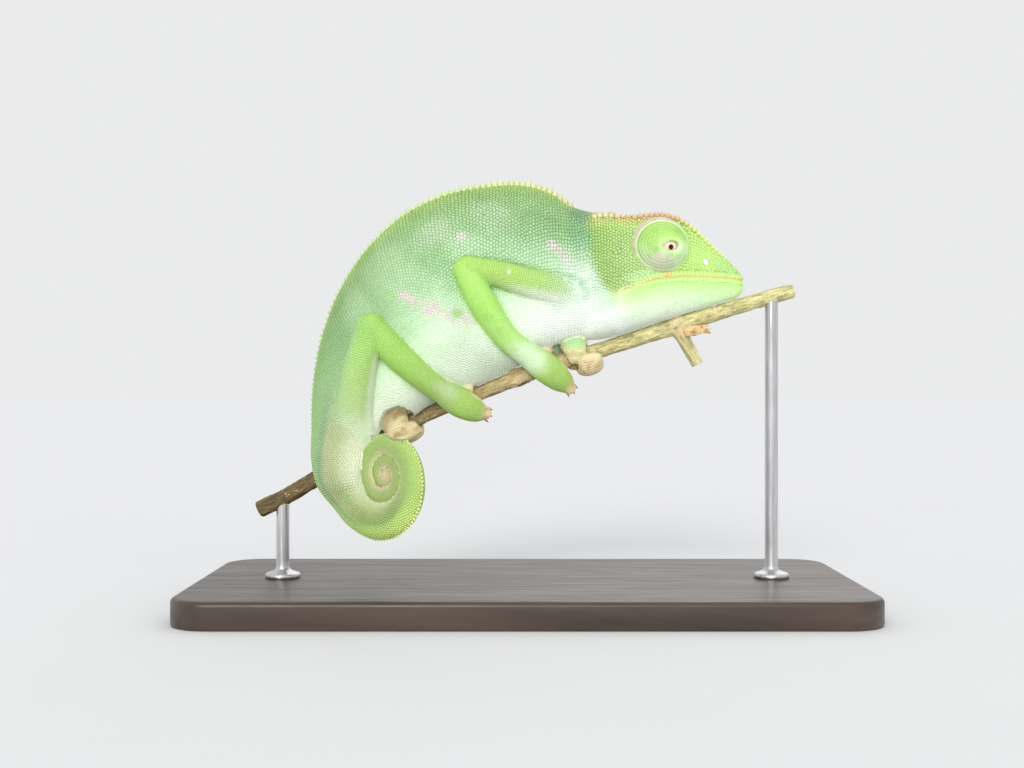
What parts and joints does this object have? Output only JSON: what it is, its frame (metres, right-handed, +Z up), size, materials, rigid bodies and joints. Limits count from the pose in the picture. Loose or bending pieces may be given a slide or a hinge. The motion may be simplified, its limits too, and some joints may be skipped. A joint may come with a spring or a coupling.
{
  "type": "chameleon model on a display stand",
  "caption": "Life-size green chameleon with a coiled tail, gripping a cut length of twig that rods hold above a flat base.",
  "frame": {"origin": "middle of the underside of the display base", "axes": "+X the way the animal looks, along the base's long side; +Y to the animal's left; +Z up"},
  "size_m": [0.15, 0.072, 0.0977],
  "materials": {
    "skin_green": "matt scaly skin, soft bright green",
    "skin_pale": "matt scaly skin, pale mint green of the throat",
    "eye": "wet gloss, pinkish tan iris round a black pupil",
    "bark": "rough olive brown bark",
    "base_board": "satin dark stained board",
    "rod_steel": "satin steel rod"
  },
  "bodies": {
    "root": {"head": "skin_green", "lower_jaw": "skin_pale", "eye_turret_right": "skin_green", "eye_turret_left": "skin_green", "eyeball_right": "eye", "eyeball_left": "eye", "neck": "skin_green", "trunk": "skin_green", "tail_base": "skin_green", "tail_middle": "skin_green", "tail_coil": "skin_green", "upper_arm_right": "skin_green", "upper_arm_left": "skin_green", "forearm_right": "skin_green", "forearm_left": "skin_green", "hand_right": "skin_green", "hand_left": "skin_green", "thigh_right": "skin_green", "thigh_left": "skin_green", "shank_right": "skin_green", "shank_left": "skin_green", "foot_right": "skin_green", "foot_left": "skin_green", "perch_twig": "bark", "stand_base": "base_board", "stand_rod_left": "rod_steel", "stand_rod_right": "rod_steel"}
  },
  "joints": []
}
